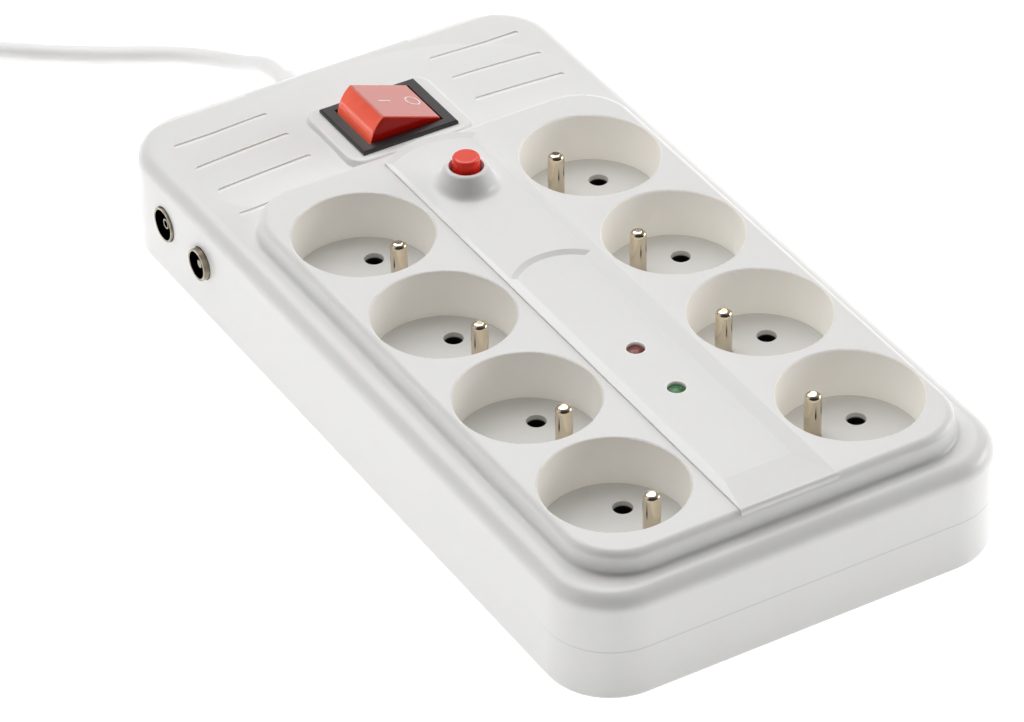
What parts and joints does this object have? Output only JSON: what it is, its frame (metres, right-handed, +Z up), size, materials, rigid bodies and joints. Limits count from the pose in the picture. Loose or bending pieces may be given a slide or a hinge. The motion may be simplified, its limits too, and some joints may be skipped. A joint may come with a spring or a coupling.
{
  "type": "surge protector power strip",
  "caption": "Flat white power strip with two columns of round recessed sockets, a red rocker switch, a reset button, aerial connectors and a mains cord with its plug.",
  "frame": {"origin": "middle of the casing's flat underside, half-way between its side walls and between its front and rear walls", "axes": "+Z up out of the sockets, +Y along the casing towards the switch and the cord, +X to the right when the cord points away"},
  "size_m": [0.262, 0.3971, 0.053],
  "materials": {
    "board_green": "solder-masked laminate",
    "breaker_black": "matt black",
    "cap_red": "glossy red",
    "capacitor_yellow": "moulded case",
    "contact_insulator": "black moulding",
    "cord_white": "soft off-white jacket",
    "fuse_white": "ceramic",
    "lamp_green": "translucent green",
    "lamp_red": "translucent red",
    "nickel": "bright nickel plate",
    "plug_white": "soft off-white moulding",
    "rail_brass": "rolled strip",
    "resistor_tan": "lacquer",
    "rocker_red": "translucent red, glossy",
    "screw_steel": "zinc plate",
    "shell_white": "smooth gloss, off-white",
    "socket_white": "smooth satin, warm off-white",
    "spring_steel": "drawn wire",
    "switch_black": "satin black",
    "varistor_blue": "epoxy dip"
  },
  "bodies": {
    "strip": {"board_screws": "screw_steel", "bottom_shell": "shell_white", "breaker_body": "breaker_black", "breaker_spring": "spring_steel", "breaker_terminals": "rail_brass", "clamp_screws": "screw_steel", "coax_board": "board_green", "coax_input_contact": "nickel", "coax_input_insulator": "contact_insulator", "coax_input_shell": "nickel", "coax_output_contact": "nickel", "coax_output_insulator": "contact_insulator", "coax_output_shell": "nickel", "cord": "cord_white", "cord_clamp": "socket_white", "cord_coil": "cord_white", "cord_gland": "cord_white", "cord_inner_end": "cord_white", "earth_busbar": "rail_brass", "earth_pin_1": "nickel", "earth_pin_2": "nickel", "earth_pin_3": "nickel", "earth_pin_4": "nickel", "earth_pin_5": "nickel", "earth_pin_6": "nickel", "earth_pin_7": "nickel", "earth_pin_8": "nickel", "gas_tube": "fuse_white", "housing_screws": "screw_steel", "lamp_green": "lamp_green", "lamp_red": "lamp_red", "lamp_resistors": "resistor_tan", "live_rail": "rail_brass", "neutral_rail": "rail_brass", "plug_body": "plug_white", "plug_earth_contacts": "nickel", "plug_pins": "nickel", "protection_board": "board_green", "socket_floor_1": "socket_white", "socket_floor_2": "socket_white", "socket_floor_3": "socket_white", "socket_floor_4": "socket_white", "socket_floor_5": "socket_white", "socket_floor_6": "socket_white", "socket_floor_7": "socket_white", "socket_floor_8": "socket_white", "suppression_capacitor": "capacitor_yellow", "switch_housing": "switch_black", "switch_terminals": "rail_brass", "thermal_fuse": "fuse_white", "top_shell": "shell_white", "varistors": "varistor_blue"},
    "rocker": {"switch_rocker": "rocker_red"},
    "reset_button": {"reset_cap": "cap_red"}
  },
  "joints": [
    {"name": "rocker_hinge", "type": "hinge", "parent": "strip", "child": "rocker", "pos_m": [0, 0.0888, 0.036], "axis": [0, 1, 0], "range_deg": [-39.2, 0]},
    {"name": "reset_slide", "type": "slide", "parent": "strip", "child": "reset_button", "axis": [0, 0, 1], "range_m": [-0.0025, 0], "stiffness_N_per_m": 800, "deforming": ["breaker_spring"]}
  ]
}
